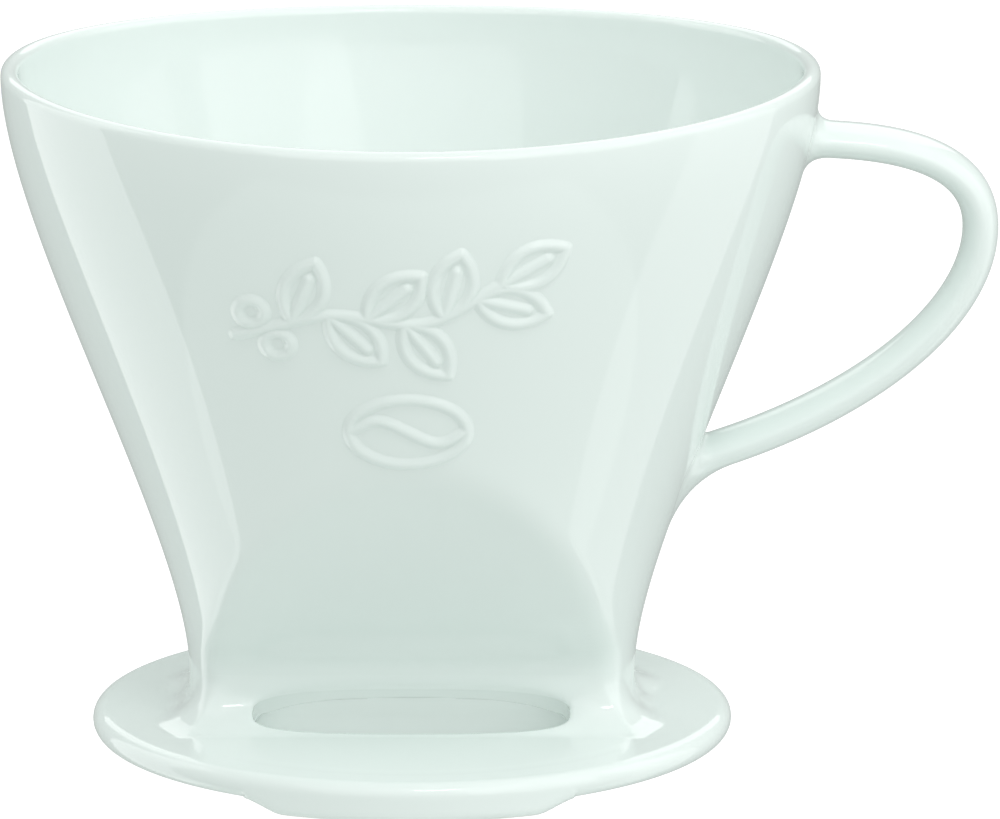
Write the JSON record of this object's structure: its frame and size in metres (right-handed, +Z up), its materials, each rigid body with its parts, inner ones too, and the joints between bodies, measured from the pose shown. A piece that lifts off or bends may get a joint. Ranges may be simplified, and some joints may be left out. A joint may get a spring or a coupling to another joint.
{
  "type": "pour over dripper",
  "caption": "White glazed porcelain pour over dripper: flared cone closing to a drip slot, round base plate with a sight window and lugs, and a loop handle.",
  "frame": {"origin": "on the cone's axis, in the plane of the lugs' undersides and of the outlet boss, which stand on the table", "axes": "+X towards the handle, -Y towards the sight window and the front, +Z up along the cone's axis"},
  "size_m": [0.159, 0.1304, 0.1112],
  "materials": {
    "funnel_glaze": "glossy clear glaze over white porcelain",
    "plate_glaze": "glossy clear glaze over white porcelain",
    "handle_glaze": "glossy clear glaze over white porcelain",
    "relief_glaze": "glossy clear glaze over white porcelain"
  },
  "bodies": {
    "root": {"funnel": "funnel_glaze", "base_plate": "plate_glaze", "handle": "handle_glaze", "leaf_relief": "relief_glaze", "bean_relief": "relief_glaze"}
  },
  "joints": []
}
